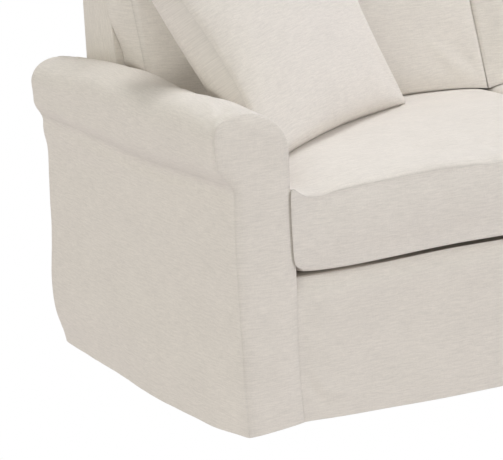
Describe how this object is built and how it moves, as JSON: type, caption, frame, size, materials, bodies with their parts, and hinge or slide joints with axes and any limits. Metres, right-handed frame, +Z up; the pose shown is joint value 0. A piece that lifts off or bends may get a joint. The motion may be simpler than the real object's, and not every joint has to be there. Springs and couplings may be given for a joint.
{
  "type": "sofa slipcover",
  "caption": "Loose cream linen slipcover for a rolled-arm sofa, hollow and open below, with boxed seat and back cushions and a corner pillow.",
  "frame": {"origin": "on the plane of the hem, under the middle of the cover", "axes": "+X to the right seen from the front, +Y from the front to the back, +Z up"},
  "size_m": [1.9321, 0.973, 1.1054],
  "materials": {
    "linen_panel": "cream slub linen, washed, matt, with soft creases along its seams",
    "linen_filled": "the same cream slub linen, drawn smooth over a soft filling"
  },
  "bodies": {
    "root": {"outside_arm_left": "linen_panel", "outside_arm_right": "linen_panel", "arm_roll_left": "linen_panel", "arm_roll_right": "linen_panel", "arm_front_left": "linen_panel", "arm_front_right": "linen_panel", "seat_cushion_left": "linen_filled", "seat_cushion_right": "linen_filled", "back_cushion_left": "linen_filled", "back_cushion_right": "linen_filled", "front_rail": "linen_panel", "seat_deck": "linen_panel", "inside_back": "linen_panel", "back_border": "linen_panel", "outside_back": "linen_panel", "corner_pillow": "linen_filled"}
  },
  "joints": []
}
